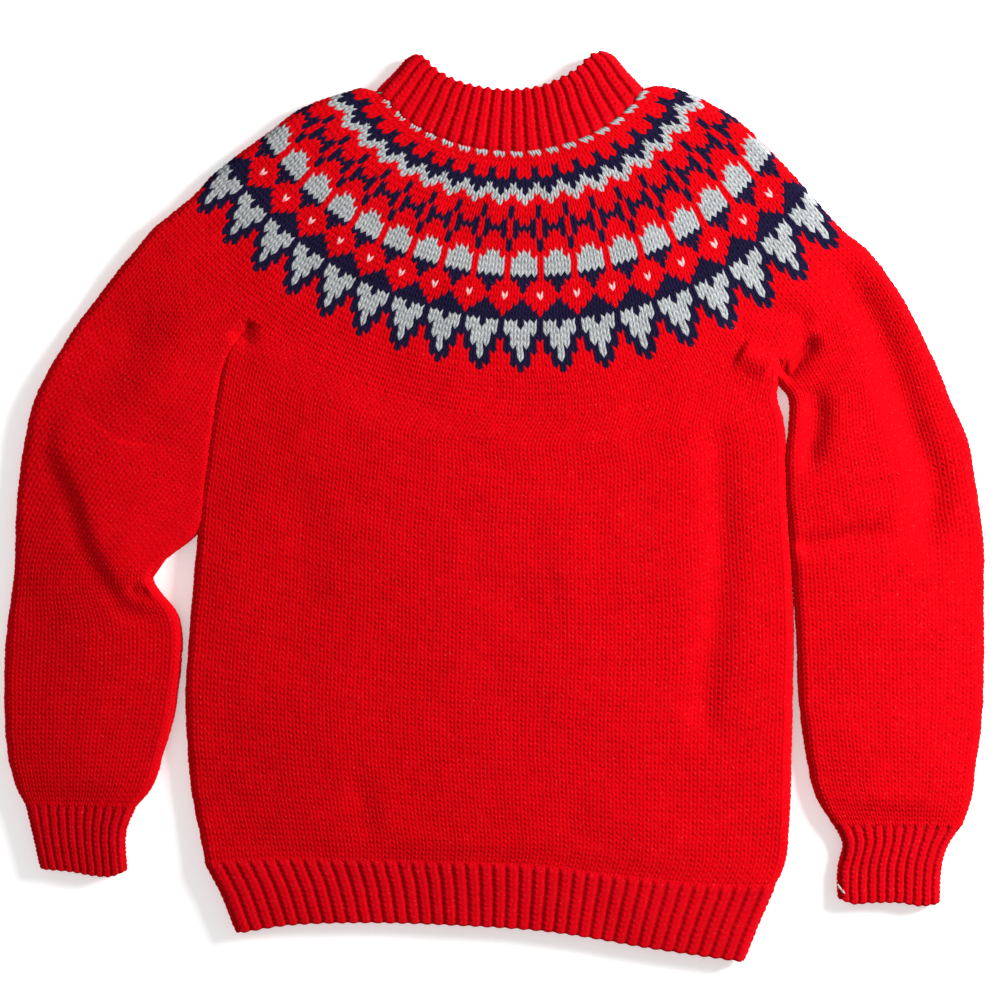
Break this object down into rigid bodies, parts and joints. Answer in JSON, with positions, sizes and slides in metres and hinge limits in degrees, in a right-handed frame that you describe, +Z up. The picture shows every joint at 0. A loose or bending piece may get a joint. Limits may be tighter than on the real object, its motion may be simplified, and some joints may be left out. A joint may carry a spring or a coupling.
{
  "type": "knitted pullover",
  "caption": "Hand-knit pullover laid flat, with a round colourwork yoke, a doubled rib neckband, a rib hem and long sleeves with rib cuffs that swing at shoulder and elbow.",
  "frame": {"origin": "bottom centre of the laid garment's box, on the surface it lies on", "axes": "+X towards the wearer's left sleeve, +Y from hem to neck, +Z up out of the front of the garment"},
  "size_m": [0.7861, 0.733, 0.02],
  "materials": {
    "red_stocking_stitch": "matte wool, smooth side out",
    "red_rib": "matte wool, 1 x 1 rib",
    "colourwork": "matte wool in red, navy and light grey heather",
    "pale_yarn": "loose yarn end"
  },
  "bodies": {
    "torso": {"body": "red_stocking_stitch", "hem_rib": "red_rib", "yoke": "colourwork", "neckband": "red_rib", "neckband_facing": "red_rib"},
    "right_upper_arm": {"right_upper_sleeve": "red_stocking_stitch"},
    "right_lower_arm": {"right_lower_sleeve": "red_stocking_stitch", "right_cuff": "red_rib"},
    "left_upper_arm": {"left_upper_sleeve": "red_stocking_stitch"},
    "left_lower_arm": {"left_lower_sleeve": "red_stocking_stitch", "left_cuff": "red_rib", "loose_thread": "pale_yarn"}
  },
  "joints": [
    {"name": "right_shoulder_swing", "type": "hinge", "parent": "torso", "child": "right_upper_arm", "pos_m": [-0.2336, 0.1828, 0.009], "axis": [0, 0, -1], "range_deg": [0, 40]},
    {"name": "right_elbow_swing", "type": "hinge", "parent": "right_upper_arm", "child": "right_lower_arm", "pos_m": [-0.3272, -0.062, 0.009], "axis": [0, 0, -1], "range_deg": [0, 25]},
    {"name": "left_shoulder_swing", "type": "hinge", "parent": "torso", "child": "left_upper_arm", "pos_m": [0.27, 0.143, 0.009], "axis": [0, 0, 1], "range_deg": [0, 40]},
    {"name": "left_elbow_swing", "type": "hinge", "parent": "left_upper_arm", "child": "left_lower_arm", "pos_m": [0.32, -0.03, 0.009], "axis": [0, 0, 1], "range_deg": [0, 25]}
  ]
}
